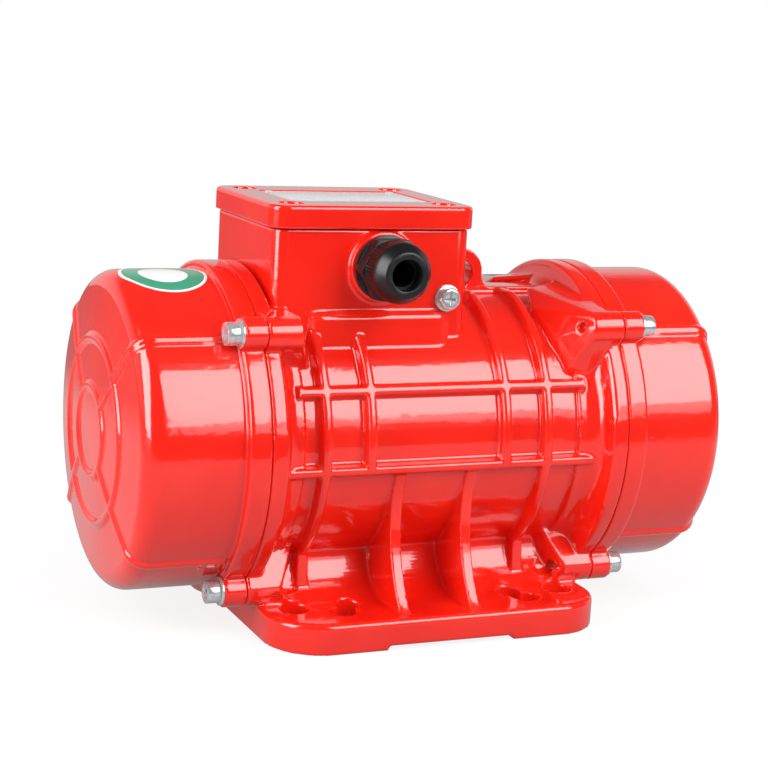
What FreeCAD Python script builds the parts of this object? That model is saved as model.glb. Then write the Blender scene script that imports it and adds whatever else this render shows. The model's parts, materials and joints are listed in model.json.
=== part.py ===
"""Unbalance vibration motor: cast housing with feet and terminal box, covers, rotor and eccentric weights.

Frame: millimetres, X along the shaft, +Z up, cable entry on the -Y side.
Origin: centre of the foot bolt pattern, on the underside of the feet.
"""
import FreeCAD, Part
import math
import os
from FreeCAD import Vector

# Driving dimensions
axis_height = 84.5          # shaft axis above the mounting face
joint_x = 86.0              # face between housing and end cover, from the middle
flange_radius = 75.0
housing_flange_thickness = 8.0
barrel_radius = 61.0
barrel_end = 67.0           # where the barrel thickens towards the end flange
bore_radius = 54.0          # stator seat
counterbore_radius = 62.0   # seat of the bearing shield rim

cover_flange_thickness = 10.0
cover_radius = 71.0
cover_wall = 4.5
cover_length = 58.5         # joint face to the crown of the end face
cover_crown = 4.2           # how far the end face bulges
cover_edge_round = 9.0
cover_ring_radii = (41.0, 20.0)
cover_bead_radius = 2.4     # raised beads on the cover
cover_bead_sink = 1.0

bolt_circle_radius = 77.6
upper_bolt_angle = 42.6     # from the horizontal through the axis
lower_bolt_angle = -55.4
ear_radius = 7.2
cover_bolt_radius = 3.0     # M6

rib_centre_x = -3.5
outer_rib_offset = 53.7
inner_rib_offset = 32.8
fin_offset = 17.2
rib_crest_radius = 65.6
upper_rib_angle = 24.5
lower_rib_angle = -7.0

base_half_length = 80.0
base_half_width = 81.0
base_thickness = 13.6
base_corner_radius = 25.0
base_recess_half_length = 30.2
base_recess_depth = 2.0
main_hole = (45.0, 62.5, 6.5)      # x, y, radius of each foot hole
small_hole = (40.0, 55.0, 5.5)
outer_hole = (65.5, 55.0, 6.5)

box_x = (-76.0, 17.0)
box_half_width = 40.0
box_top = 178.6
box_split = 143.5
box_floor = 147.5
box_wall = 4.0
box_corner_radius = 6.0
lid_x = (-78.0, 19.0)
lid_half_width = 42.0
gasket_thickness = 0.6
lid_thickness = 10.0
lid_screw_x = (-66.0, 7.0)
lid_screw_y = 30.0
lid_boss_radius = 6.0

gland_x = -26.0
gland_z = 162.7
gland_boss_radius = 15.7
gland_boss_height = 3.6
earth_screw_x = 6.5
earth_screw_z = 148.4

eye_x = 28.7
eye_z = 154.7
eye_radius = 11.7
eye_hole_radius = 6.4
eye_thickness = 14.0
pad_top = 148.1
pad_end = 69.0

core_half_length = 32.0
stator_inner_radius = 33.0
rotor_radius = 32.5
shaft_core_radius = 15.0
shaft_seat_radius = 12.5
shaft_end_radius = 11.0
shaft_half_length = 130.0
bearing_x = (62.0, 77.0)
bearing_outer_radius = 26.0
roller_pitch_radius = 19.25
roller_radius = 2.95
roller_count = 10

weight_radius = 56.0
weight_hub_radius = 19.0
fixed_weight_x = (87.5, 105.5)
adjustable_weight_x = (106.5, 124.5)

SIDES = (("left", -1), ("right", 1))
X_AXIS = Vector(1, 0, 0)
Y_AXIS = Vector(0, 1, 0)
Z_AXIS = Vector(0, 0, 1)
AXIS_POINT = Vector(0, 0, axis_height)


# Shape helpers

def fuse(shapes):
    """One solid from overlapping or touching solids."""
    shapes = list(shapes)
    return shapes[0].multiFuse(shapes[1:]).removeSplitter() if len(shapes) > 1 else shapes[0]


def cut(shape, tools):
    """The shape without all the tools."""
    return shape.cut(list(tools))


def group(shapes):
    """Separate solids kept side by side in one node."""
    return Part.makeCompound(list(shapes))


def rounded_wire(points, radii, place):
    """Closed outline through 2-D points, with an arc of the given radius at each corner."""
    edges = []
    count = len(points)
    ends = []
    for i in range(count):
        corner = Vector(*points[i], 0)
        before = (Vector(*points[i - 1], 0) - corner).normalize()
        after = (Vector(*points[(i + 1) % count], 0) - corner).normalize()
        radius = radii[i]
        if radius <= 0:
            ends.append((corner, None, corner))
            continue
        half = before.getAngle(after) / 2
        reach = radius / math.tan(half)
        middle = (before + after).normalize()
        arc_point = corner + middle * (radius / math.sin(half) - radius)
        ends.append((corner + before * reach, arc_point, corner + after * reach))
    for i in range(count):
        first, arc_point, last = ends[i]
        if arc_point is not None:
            edges.append(Part.Arc(place(first), place(arc_point), place(last)).toShape())
        following = ends[(i + 1) % count][0]
        if (following - last).Length > 1e-6:
            edges.append(Part.LineSegment(place(last), place(following)).toShape())
    return Part.Wire(Part.__sortEdges__(edges))


def turned(points, rounds=None):
    """Solid of revolution about the shaft axis from (x, radius) points; rounds maps index to radius."""
    radii = [0.0] * len(points)
    for index, radius in (rounds or {}).items():
        radii[index] = radius
    wire = rounded_wire(points, radii, lambda p: Vector(p.x, 0, axis_height + p.y))
    return Part.Face(wire).revolve(AXIS_POINT, X_AXIS, 360)


def slab(x_range, y_range, z_range, corner=0.0):
    """Upright block with rounded vertical edges."""
    (x0, x1), (y0, y1), (z0, z1) = x_range, y_range, z_range
    if corner <= 0:
        return Part.makeBox(x1 - x0, y1 - y0, z1 - z0, Vector(x0, y0, z0))
    outline = [(x0, y0), (x1, y0), (x1, y1), (x0, y1)]
    wire = rounded_wire(outline, [corner] * 4, lambda p: Vector(p.x, p.y, z0))
    return Part.Face(wire).extrude(Vector(0, 0, z1 - z0))


def cross_prism(points, radii, x0, x1):
    """Prism along X from a (y, z) outline."""
    wire = rounded_wire(points, radii, lambda p: Vector(x0, p.x, p.y))
    return Part.Face(wire).extrude(Vector(x1 - x0, 0, 0))


def cylinder_x(radius, x0, x1, y=0.0, z=axis_height):
    return Part.makeCylinder(radius, x1 - x0, Vector(x0, y, z), X_AXIS)


def cylinder_y(radius, y0, y1, x, z):
    return Part.makeCylinder(radius, y1 - y0, Vector(x, y0, z), Y_AXIS)


def cylinder_z(radius, z0, z1, x, y):
    return Part.makeCylinder(radius, z1 - z0, Vector(x, y, z0), Z_AXIS)


def ring_x(outer, inner, x0, x1):
    return cylinder_x(outer, x0, x1).cut(cylinder_x(inner, x0 - 1, x1 + 1))


def hexagon(across_flats, height, centre, direction):
    """Hexagonal prism starting at centre along direction."""
    radius = across_flats / math.sqrt(3)
    corners = [Vector(radius * math.cos(math.radians(60 * i)), radius * math.sin(math.radians(60 * i)), 0)
               for i in range(7)]
    prism = Part.Face(Part.makePolygon(corners)).extrude(Vector(0, 0, height))
    prism.Placement = FreeCAD.Placement(centre, FreeCAD.Rotation(Z_AXIS, direction))
    return prism


def about_axis(shape, degrees):
    """Copy turned about the shaft axis."""
    turned_copy = shape.copy()
    turned_copy.rotate(AXIS_POINT, X_AXIS, degrees)
    return turned_copy


def pattern(shape, count, start=0.0):
    return [about_axis(shape, start + 360.0 * i / count) for i in range(count)]


def mirrored(shape, side):
    """The +X shape as it is, or its mirror image for the other end."""
    return shape if side > 0 else shape.mirror(Vector(0, 0, 0), X_AXIS)


def polar(x, radius, degrees):
    """Point at an angle about the shaft axis, from +Y towards +Z."""
    angle = math.radians(degrees)
    return Vector(x, radius * math.cos(angle), axis_height + radius * math.sin(angle))


def bolt_angles():
    """The four cover bolts of one end, from +Y towards +Z."""
    return (upper_bolt_angle, 180 - upper_bolt_angle, lower_bolt_angle, 180 - lower_bolt_angle)


def four_corners(hole):
    x, y, radius = hole
    return [(sx * x, sy * y, radius) for sx in (-1, 1) for sy in (-1, 1)]


# Housing

def ring_rib(x):
    """Rib round the barrel with a tapered flank and a rounded crest."""
    root, crest = 3.2, 1.9
    low = barrel_radius - 2
    points = [(x - root, low), (x - crest, rib_crest_radius), (x + crest, rib_crest_radius), (x + root, low)]
    crown = Part.makeBox(20, 60, 20, Vector(x - 10, -30, pad_top - 0.5))
    return turned(points, {1: 1.4, 2: 1.4}).cut(crown)


def long_rib(degrees):
    """Rib along the barrel, standing out at an angle about the axis."""
    root, crest = 3.0, 1.8
    reach = joint_x - housing_flange_thickness / 2
    low = barrel_radius - 3
    points = [(low, axis_height - root), (rib_crest_radius, axis_height - crest),
              (rib_crest_radius, axis_height + crest), (low, axis_height + root)]
    rib = cross_prism(points, [0, 1.3, 1.3, 0], -reach, reach)
    return about_axis(rib, degrees)


def boss(degrees):
    """Bolt boss behind the +X flange, with the gusset that falls from it to the barrel."""
    boss_end, slope_length = 70.5, 9.5
    hug_radius = barrel_radius - 1.0
    spread = math.degrees(math.acos((hug_radius - ear_radius) / bolt_circle_radius))
    centre = polar(boss_end, bolt_circle_radius, degrees)

    def around(radius, angle, about=Vector(boss_end, 0, axis_height)):
        return about + polar(0, radius, angle) - AXIS_POINT

    low_hug, high_hug = around(hug_radius, degrees - spread), around(hug_radius, degrees + spread)
    low_ear, high_ear = around(ear_radius, degrees - spread, centre), around(ear_radius, degrees + spread, centre)
    tip = around(ear_radius, degrees, centre)
    axis_end = around(0, degrees)
    edges = [Part.LineSegment(axis_end, low_hug), Part.LineSegment(low_hug, low_ear), Part.Arc(low_ear, tip, high_ear),
             Part.LineSegment(high_ear, high_hug), Part.LineSegment(high_hug, axis_end)]
    section = Part.Face(Part.Wire([edge.toShape() for edge in edges]))
    drop = bolt_circle_radius + ear_radius - barrel_radius
    straight = section.extrude(Vector(joint_x - boss_end, 0, 0))
    falling = section.extrude(Vector(-slope_length, 0, 0) - (tip - axis_end).normalize() * drop)
    return fuse([straight, falling])


def boss_foot(side_y):
    """Block that joins a lower boss of the +X end to the base."""
    centre = polar(0, bolt_circle_radius, lower_bolt_angle)
    middle = side_y * centre.y
    half = ear_radius - 0.3
    return slab((66.0, base_half_length - 2.5), (middle - half, middle + half), (base_thickness - 1, centre.z))


def middle_fin(x):
    """Fin from the lower long rib to the front and back edges of the base, hollow outwards."""
    half = 2.6
    top, waist, foot = (64.0, 77.0), (59.3, 48.0), (76.5, base_thickness - 1)

    def point(y, z):
        return Vector(x - half, y, z)

    edges = [Part.Arc(point(-top[0], top[1]), point(-waist[0], waist[1]), point(-foot[0], foot[1])).toShape(),
             Part.LineSegment(point(-foot[0], foot[1]), point(foot[0], foot[1])).toShape(),
             Part.Arc(point(foot[0], foot[1]), point(waist[0], waist[1]), point(top[0], top[1])).toShape(),
             Part.LineSegment(point(top[0], top[1]), point(-top[0], top[1])).toShape()]
    return Part.Face(Part.Wire(edges)).extrude(Vector(2 * half, 0, 0))


def pedestal():
    """Saddle under the barrel that sweeps hollow into the base, and its two end ribs."""
    half, sweep, top, reach = 35.0, 22.0, 50.0, 74.0
    spread = half + sweep + 1
    low = base_thickness - 1
    outline = [(-spread, low), (spread, low), (spread, base_thickness), (half, base_thickness), (half, top),
               (-half, top), (-half, base_thickness), (-spread, base_thickness)]
    saddle = cross_prism(outline, [0, 0, 0, sweep, 0, 0, sweep, 0], -reach, reach)
    ribs = [cross_prism([(-43, low), (43, low), (41, top), (-41, top)], [0] * 4, x - 2.6, x + 2.6)
            for x in (rib_centre_x - outer_rib_offset, rib_centre_x + outer_rib_offset)]
    return [saddle] + ribs


def base_plate():
    plate = slab((-base_half_length, base_half_length), (-base_half_width, base_half_width),
                 (0, base_thickness), base_corner_radius)
    top_edges = [e for e in plate.Edges if all(abs(v.Z - base_thickness) < 1e-6 for v in e.Vertexes)]
    return plate.makeFillet(2.2, top_edges)


def box_room(z0, z1):
    """Room between the walls of the terminal box."""
    return slab((box_x[0] + box_wall, box_x[1] - box_wall),
                (-box_half_width + box_wall, box_half_width - box_wall), (z0, z1), 3.0)


def box_posts(z0, z1):
    """Four posts for the lid screws, each joined to its corner."""
    posts = [cylinder_z(lid_boss_radius, z0, z1, x, sy * lid_screw_y) for x in lid_screw_x for sy in (-1, 1)]
    corners = [slab((min(x, edge), max(x, edge)), (min(sy * lid_screw_y, sy * box_half_width),
                                                   max(sy * lid_screw_y, sy * box_half_width)), (z0, z1))
               for x, edge in zip(lid_screw_x, box_x) for sy in (-1, 1)]
    return posts + corners


def box_opening(z0, z1):
    """Room inside the terminal box between its four corner posts."""
    return cut(box_room(z0, z1), box_posts(z0 - 1, z1 + 1))


def cable_and_screw_holes():
    """Cable entry, cable passage to the winding, earth screw hole and lid screw holes."""
    holes = [cylinder_z(7.0, 130.0, box_floor + 1, -56.0, 0),
             cylinder_y(10.1, -60, -30, gland_x, gland_z),
             cylinder_y(cover_bolt_radius + 0.05, -50, -29, earth_screw_x, earth_screw_z)]
    for x in lid_screw_x:
        holes += [cylinder_z(2.55, 164.0, box_top + 1, x, sy * lid_screw_y) for sy in (-1, 1)]
    return holes


def box_block(z0, z1):
    """Outer form of the terminal box between two heights."""
    return slab(box_x, (-box_half_width, box_half_width), (z0, z1), box_corner_radius)


def box_foot():
    """Lower walls of the terminal box and the shoulder under it, part of the housing casting."""
    shoulder = slab((-61.0, 9.0), (-43.5, 43.5), (118.0, 142.5), 8.0)
    top_edges = [e for e in shoulder.Edges if all(abs(v.Z - 142.5) < 1e-6 for v in e.Vertexes)]
    return [box_block(110.0, box_split), shoulder.makeFillet(3.0, top_edges)]


def terminal_box():
    """Upper part of the terminal box: floor and walls with the raised ring round the cable entry, and its posts."""
    entry = cylinder_y(gland_boss_radius, -box_half_width - gland_boss_height, -box_half_width + 1,
                       gland_x, gland_z)
    walls = fuse([box_block(box_split, box_top), entry])
    holes = cable_and_screw_holes()
    posts = box_room(box_floor, box_top).common(fuse(box_posts(box_floor - 1, box_top + 1)))
    return cut(walls, [box_room(box_floor, box_top + 1)] + holes), cut(posts, holes)


def lifting_eye():
    """Pierced lug on the crown of the barrel beside the terminal box, with the pad that carries it."""
    half = eye_thickness / 2
    foot_z = 140.0
    lug = cylinder_y(eye_radius, -half, half, eye_x, eye_z)
    outline = [(box_x[1], foot_z), (eye_x + eye_radius + 8, foot_z), (eye_x + eye_radius + 8, pad_top),
               (eye_x + eye_radius, pad_top), (eye_x + eye_radius, eye_z), (box_x[1], eye_z)]
    wire = rounded_wire(outline, [0, 0, 0, 5.0, 0, 0], lambda p: Vector(p.x, -half, p.y))
    neck = Part.Face(wire).extrude(Vector(0, eye_thickness, 0))
    pad = slab((box_x[1], pad_end), (-half, half), (foot_z - 5, pad_top))
    return [lug, neck, pad]


def housing():
    flange_face = joint_x - housing_flange_thickness
    band_radius = barrel_radius + 2.2
    barrel = turned([(-joint_x, 0), (-joint_x, flange_radius), (-flange_face, flange_radius),
                     (-flange_face, band_radius), (-barrel_end, band_radius), (-barrel_end, barrel_radius),
                     (barrel_end, barrel_radius), (barrel_end, band_radius), (flange_face, band_radius),
                     (flange_face, flange_radius), (joint_x, flange_radius), (joint_x, 0)],
                    {1: 0.8, 2: 1.6, 3: 9.5, 8: 9.5, 9: 1.6, 10: 0.8})
    solids = [barrel, base_plate()]
    for sign in (-1, 1):
        solids.append(ring_rib(rib_centre_x + sign * outer_rib_offset))
        inner = ring_rib(rib_centre_x + sign * inner_rib_offset)
        below = rib_crest_radius * math.sin(math.radians(lower_rib_angle))
        keep = Part.makeBox(200, 200, 100, Vector(-100, -100, axis_height + below))
        solids.append(inner.common(keep))
        solids.append(middle_fin(rib_centre_x + sign * fin_offset))
    for degrees in (upper_rib_angle, 180 - upper_rib_angle, lower_rib_angle, 180 - lower_rib_angle):
        solids.append(long_rib(degrees))
    for degrees in bolt_angles():
        for name, side in SIDES:
            solids.append(mirrored(boss(degrees), side))
    for name, side in SIDES:
        solids += [mirrored(boss_foot(side_y), side) for side_y in (-1, 1)]
    solids += pedestal() + box_foot() + lifting_eye()
    body = fuse(solids)

    tools = [cylinder_x(bore_radius, -joint_x, joint_x),
             slab((-base_recess_half_length, base_recess_half_length), (-100, 100), (-1, base_recess_depth)),
             box_block(box_split, box_top + 1),
             cylinder_y(eye_hole_radius, -20, 20, eye_x, eye_z)] + cable_and_screw_holes()
    for hole in (main_hole, small_hole, outer_hole):
        tools += [cylinder_z(r, -1, base_thickness + 30, x, y) for x, y, r in four_corners(hole)]
    for name, side in SIDES:
        tools.append(mirrored(cylinder_x(counterbore_radius, flange_face, joint_x + 1), side))
        tools.append(mirrored(ring_x(69.5, 66.5, joint_x - 2, joint_x + 1), side))
        for degrees in bolt_angles():
            centre = polar(0, bolt_circle_radius, degrees)
            tools.append(mirrored(cylinder_x(cover_bolt_radius + 0.05, 60, joint_x + 1, centre.y, centre.z), side))
        for hole in pattern(cylinder_x(2.05, 66, flange_face + 1, 0, axis_height + 57.8), 4, 45):
            tools.append(mirrored(hole, side))
    return cut(body, tools)


def housing_nodes():
    """The casting as nodes of simple form: barrel with base, upper halves of the end flanges, lifting eye."""
    whole = housing()
    half = eye_thickness / 2
    zones = {"lifting_eye": slab((box_x[1], barrel_end), (-half, half), (box_split, box_top))}
    for name, side in SIDES:
        zones["flange_" + name] = mirrored(slab((barrel_end, joint_x + 1), (-100, 100),
                                                (axis_height, box_top)), side)
    nodes = {name: whole.common(zone) for name, zone in zones.items()}
    nodes["housing"] = cut(whole, list(zones.values()))
    nodes["terminal_box"], nodes["terminal_box_posts"] = terminal_box()
    return nodes


# End covers

def dome_x(radius, offset=0.0):
    """Where the domed end face, or a surface inset from it, lies at a distance from the axis."""
    rim_radius = cover_radius - cover_edge_round
    ball_radius = (rim_radius ** 2 + cover_crown ** 2) / (2 * cover_crown)
    return joint_x + cover_length - offset - ball_radius + math.sqrt(ball_radius ** 2 - radius ** 2)


def cover_meridian(offset):
    """Side, rounded edge and dome of the cover as edges in the XZ plane, inset by an offset."""
    rim_radius = cover_radius - cover_edge_round
    edge_round = cover_edge_round - offset
    bend = math.radians(45)
    round_x = dome_x(rim_radius) - cover_edge_round

    def point(x, radius):
        return Vector(x, 0, axis_height + radius)

    side = point(round_x, cover_radius - offset)
    bend_point = point(round_x + edge_round * math.sin(bend), rim_radius + edge_round * math.cos(bend))
    rim = point(dome_x(rim_radius, offset), rim_radius)
    return side, bend_point, rim, point


def cover_solid(offset, start_x):
    """Solid of revolution under the outer surface of the cover, or under one inset from it."""
    side, bend_point, rim, point = cover_meridian(offset)
    half_radius = (cover_radius - cover_edge_round) / 2
    corner = point(start_x, cover_radius - offset)
    centre = point(start_x, 0)
    crown = point(dome_x(0, offset), 0)
    edges = [Part.LineSegment(centre, corner), Part.LineSegment(corner, side), Part.Arc(side, bend_point, rim),
             Part.Arc(rim, point(dome_x(half_radius, offset), half_radius), crown),
             Part.LineSegment(crown, centre)]
    wire = Part.Wire([edge.toShape() for edge in edges])
    return Part.Face(wire).revolve(AXIS_POINT, X_AXIS, 360)


def cover_beads():
    """Two rings and four radial beads standing on the end face, the radial ones running on to the flange."""
    sink = cover_bead_sink
    beads = [Part.makeTorus(radius, cover_bead_radius, Vector(dome_x(radius, sink), 0, axis_height), X_AXIS)
             for radius in cover_ring_radii]
    side, bend_point, rim, point = cover_meridian(sink)
    inner_radius = cover_ring_radii[1]
    middle_radius = (inner_radius + cover_radius - cover_edge_round) / 2
    start = point(dome_x(inner_radius, sink), inner_radius)
    washer_room = 1.4
    foot = Vector(joint_x + cover_flange_thickness + washer_room, 0, side.z)
    path = Part.Wire([Part.LineSegment(foot, side).toShape(), Part.Arc(side, bend_point, rim).toShape(),
                      Part.Arc(rim, point(dome_x(middle_radius, sink), middle_radius), start).toShape()])
    section = Part.Wire([Part.Circle(foot, X_AXIS, cover_bead_radius).toShape()])
    radial = path.makePipeShell([section], True, True)
    for degrees in bolt_angles():
        beads.append(about_axis(radial, degrees - 90))
    return beads


def cover():
    """Cup with a thick flange; its end face is a shallow dome."""
    flange_end = joint_x + cover_flange_thickness
    flange = turned([(joint_x, 0), (joint_x, flange_radius), (flange_end, flange_radius), (flange_end, 0)],
                    {1: 0.8, 2: 1.6})
    spigot = cylinder_x(counterbore_radius - 0.1, joint_x - 1.9, joint_x + 1)
    body = fuse([cover_solid(0.0, joint_x), flange, spigot]).cut(cover_solid(cover_wall, joint_x + 2))
    for bead in cover_beads():
        body = body.fuse(bead)
    tools = [cylinder_x(57.0, joint_x - 3, joint_x + 3)]
    for degrees in bolt_angles():
        centre = polar(0, bolt_circle_radius, degrees)
        body = body.fuse(cylinder_x(ear_radius, joint_x, flange_end, centre.y, centre.z))
        tools.append(cylinder_x(cover_bolt_radius + 0.3, joint_x - 1, flange_end + 1, centre.y, centre.z))
        tools.append(cylinder_x(ear_radius - 0.5, flange_end, flange_end + 1.5, centre.y, centre.z))
    return cut(body, tools)


def cover_fasteners():
    """Socket head screws and washers of both covers."""
    washer_thickness, head_height, head_radius = 1.2, 6.0, 5.0
    seat = joint_x + cover_flange_thickness
    bolts, washers = [], []
    for degrees in bolt_angles():
        centre = polar(0, bolt_circle_radius, degrees)
        y, z = centre.y, centre.z
        head_x = seat + washer_thickness
        bolt = fuse([cylinder_x(cover_bolt_radius, seat - 26, head_x, y, z),
                     cylinder_x(head_radius, head_x, head_x + head_height, y, z)])
        socket = hexagon(5.0, 3.5, Vector(head_x + head_height - 3.0, y, z), X_AXIS)
        washer = cylinder_x(6.4, seat, head_x, y, z).cut(cylinder_x(3.2, seat - 1, head_x + 1, y, z))
        for name, side in SIDES:
            bolts.append(mirrored(bolt.cut(socket), side))
            washers.append(mirrored(washer, side))
    return {"cover_bolts": group(bolts), "cover_washers": group(washers)}


# Bearing shields and bearings

def shield():
    """Bearing shield: hub, web and the rim that seats in the housing counterbore."""
    body = turned([(60, 21), (60, 33), (71, 36), (71, bore_radius - 0.1), (78, bore_radius - 0.1),
                   (78, counterbore_radius - 0.1), (84, counterbore_radius - 0.1), (84, 52), (77, 47),
                   (77, bearing_outer_radius), (62, bearing_outer_radius), (62, 21)], {2: 3, 8: 3})
    rim_holes = pattern(fuse([cylinder_x(2.2, 77, 85, 0, axis_height + 57.8),
                              cylinder_x(3.8, 80, 85, 0, axis_height + 57.8)]), 4, 45)
    cap_holes = pattern(cylinder_x(2.05, 66, 78, 0, axis_height + 29.5), 4, 45)
    return cut(body, rim_holes + cap_holes)


def shield_screws():
    screw = fuse([cylinder_x(2.0, 68, 80, 0, axis_height + 57.8), cylinder_x(3.5, 80, 84, 0, axis_height + 57.8)])
    return pattern(screw, 4, 45)


def bearing_cap():
    plate = turned([(77, 17), (77, 33), (80, 33), (80, 17)])
    return cut(plate, pattern(cylinder_x(2.2, 76, 81, 0, axis_height + 29.5), 4, 45))


def bearing_cap_screws():
    screw = fuse([cylinder_x(2.0, 68, 80, 0, axis_height + 29.5), cylinder_x(3.4, 80, 83, 0, axis_height + 29.5)])
    return pattern(screw, 4, 45)


def bearing():
    """Cylindrical roller bearing: races, rollers and cage as separate pieces."""
    x0, x1 = bearing_x
    track_inner, track_outer, lip = 16.0, 22.5, 2.0
    outer = turned([(x0, bearing_outer_radius), (x0, 21.2), (x0 + lip, 21.2), (x0 + lip, track_outer),
                    (x1 - lip, track_outer), (x1 - lip, 21.2), (x1, 21.2), (x1, bearing_outer_radius)])
    inner = ring_x(track_inner, shaft_seat_radius, x0, x1)
    roller = cylinder_x(roller_radius, x0 + 2.5, x1 - 2.5, 0, axis_height + roller_pitch_radius)
    rollers = pattern(roller, roller_count)
    cage = cut(ring_x(20.7, 17.8, x0 + 1.4, x1 - 1.4), rollers)
    return outer, inner, group(rollers), cage


# Electrical parts inside

def stator():
    slot_count, slot_width, slot_root, slot_bottom = 24, 4.4, 36.0, 46.0
    slot = slab((-core_half_length, core_half_length), (-slot_width / 2, slot_width / 2),
                (axis_height + slot_root, axis_height + slot_bottom))
    slots = pattern(slot, slot_count)
    core = cut(ring_x(bore_radius, stator_inner_radius, -core_half_length, core_half_length), slots)
    heads = [mirrored(turned([(core_half_length, 35.5), (core_half_length, 48.5), (47, 48.5), (47, 36.5)],
                             {2: 5, 3: 4}), side) for name, side in SIDES]
    return core, fuse(heads + slots)


def rotor():
    bar_count, bar_radius, bar_circle = 18, 2.2, 28.6
    bar = cylinder_x(bar_radius, -core_half_length, core_half_length, 0, axis_height + bar_circle)
    bars = pattern(bar, bar_count)
    core = cut(ring_x(rotor_radius, shaft_core_radius, -core_half_length, core_half_length), bars)
    rings = [mirrored(turned([(core_half_length, 21), (core_half_length, 31.5), (40, 31.0), (40, 22)]), side)
             for name, side in SIDES]
    return core, fuse(rings + bars)


def shaft():
    keyways = [mirrored(slab((fixed_weight_x[0] + 1.5, fixed_weight_x[1] - 1.5), (-3, 3),
                             (axis_height + 7.5, axis_height + 12), 0), side) for name, side in SIDES]
    half = [(0, 0), (0, shaft_core_radius), (60, shaft_core_radius), (60, 14.0), (62, 14.0),
            (62, shaft_seat_radius), (79, shaft_seat_radius), (79, shaft_end_radius),
            (125.5, shaft_end_radius), (125.5, 10.0), (126.9, 10.0), (126.9, shaft_end_radius),
            (shaft_half_length - 1.5, shaft_end_radius), (shaft_half_length, shaft_end_radius - 1.5),
            (shaft_half_length, 0)]
    ends = [mirrored(turned(half), side) for name, side in SIDES]
    return cut(fuse(ends), keyways)


# Eccentric weights

def weight_blank(x0, x1):
    """Sector below the axis with a hub round it."""
    spread = 72.0
    first = polar(x0, weight_radius, -90 - spread)
    middle = polar(x0, weight_radius, -90)
    last = polar(x0, weight_radius, -90 + spread)
    centre = Vector(x0, 0, axis_height + 4)
    wire = Part.Wire([Part.Arc(first, middle, last).toShape(), Part.LineSegment(last, centre).toShape(),
                      Part.LineSegment(centre, first).toShape()])
    sector = Part.Face(wire).extrude(Vector(x1 - x0, 0, 0))
    return fuse([sector, cylinder_x(weight_hub_radius, x0, x1)])


def fixed_weight():
    x0, x1 = fixed_weight_x
    keyway = slab((x0 - 1, x1 + 1), (-3, 3), (axis_height, axis_height + 13.8))
    return cut(weight_blank(x0, x1), [cylinder_x(shaft_end_radius, x0 - 1, x1 + 1), keyway])


def weight_key():
    x0, x1 = fixed_weight_x
    return slab((x0 + 1.5, x1 - 1.5), (-3, 3), (axis_height + 7.5, axis_height + 13.5))


def adjustable_weight():
    """Weight with a split hub that a screw clamps on the shaft."""
    x0, x1 = adjustable_weight_x
    middle = (x0 + x1) / 2
    lugs = slab((x0 + 2, x1 - 2), (-12, 12), (axis_height + 10, axis_height + 27), 0)
    split = slab((x0 - 1, x1 + 1), (-1.2, 1.2), (axis_height, axis_height + 30))
    tools = [cylinder_x(shaft_end_radius + 0.02, x0 - 1, x1 + 1), split,
             cylinder_y(3.1, -13, 13, middle, axis_height + 20.5)]
    return cut(fuse([weight_blank(x0, x1), lugs]), tools)


def weight_clamp_screw():
    middle = sum(adjustable_weight_x) / 2
    z = axis_height + 20.5
    head = cylinder_y(5.0, 12, 18, middle, z).cut(hexagon(5.0, 4.0, Vector(middle, 15.0, z), Y_AXIS))
    return fuse([cylinder_y(3.0, -11.5, 12, middle, z), head])


def retaining_ring():
    ring = ring_x(13.6, 10.0, 125.55, 126.85)
    return ring.cut(slab((120, 130), (-3.5, 3.5), (axis_height, axis_height + 20)))


# Terminal box fittings

def lid():
    z0 = box_top + gasket_thickness
    z1 = z0 + lid_thickness
    block = slab(lid_x, (-lid_half_width, lid_half_width), (z0, z1), 8.5)
    top_edges = [e for e in block.Edges if all(abs(v.Z - z1) < 1e-6 for v in e.Vertexes)]
    block = block.makeFillet(1.4, top_edges)
    tools = [box_opening(z0 - 1, z0 + 4.5), slab((-62.5, 5.5), (-22, 22), (z1 - 1.0, z1 + 1), 2.0)]
    for x in lid_screw_x:
        for sy in (-1, 1):
            tools.append(cylinder_z(5.5, z1 - 4.0, z1 + 1, x, sy * lid_screw_y))
            tools.append(cylinder_z(2.8, z0 - 1, z1, x, sy * lid_screw_y))
    return cut(block, tools)


def lid_gasket():
    inset = 1.3
    sheet = slab((box_x[0] + inset, box_x[1] - inset), (-box_half_width + inset, box_half_width - inset),
                 (box_top, box_top + gasket_thickness), box_corner_radius - inset)
    holes = [cylinder_z(2.8, box_top - 1, box_top + 3, x, sy * lid_screw_y)
             for x in lid_screw_x for sy in (-1, 1)]
    return cut(sheet, [box_opening(box_top - 1, box_top + 3)] + holes)


def lid_screws():
    seat = box_top + gasket_thickness + lid_thickness - 4.0
    screws = []
    for x in lid_screw_x:
        for sy in (-1, 1):
            y = sy * lid_screw_y
            screw = fuse([cylinder_z(2.5, 166.0, seat, x, y), cylinder_z(4.4, seat, seat + 3.0, x, y)])
            cross = [slab((x - 2.6, x + 2.6), (y - 0.6, y + 0.6), (seat + 1.4, seat + 4)),
                     slab((x - 0.6, x + 0.6), (y - 2.6, y + 2.6), (seat + 1.4, seat + 4))]
            screws.append(cut(screw, cross))
    return group(screws)


def nameplate():
    """Bare plate in the lid recess and the rivets that hold it."""
    z0 = box_top + gasket_thickness + lid_thickness - 1.0
    plate = slab((-61.5, 4.5), (-21, 21), (z0, z0 + 0.6), 1.5)
    places = [(x, y) for x in (-58.5, 1.5) for y in (-18, 18)]
    plate = cut(plate, [cylinder_z(1.2, z0 - 1, z0 + 2, x, y) for x, y in places])
    rivets = [fuse([cylinder_z(1.15, z0 - 2.4, z0 + 0.6, x, y), cylinder_z(2.0, z0 + 0.6, z0 + 1.0, x, y)])
              for x, y in places]
    return plate, group(rivets), [cylinder_z(1.2, z0 - 2.5, z0 + 2, x, y) for x, y in places]


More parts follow.
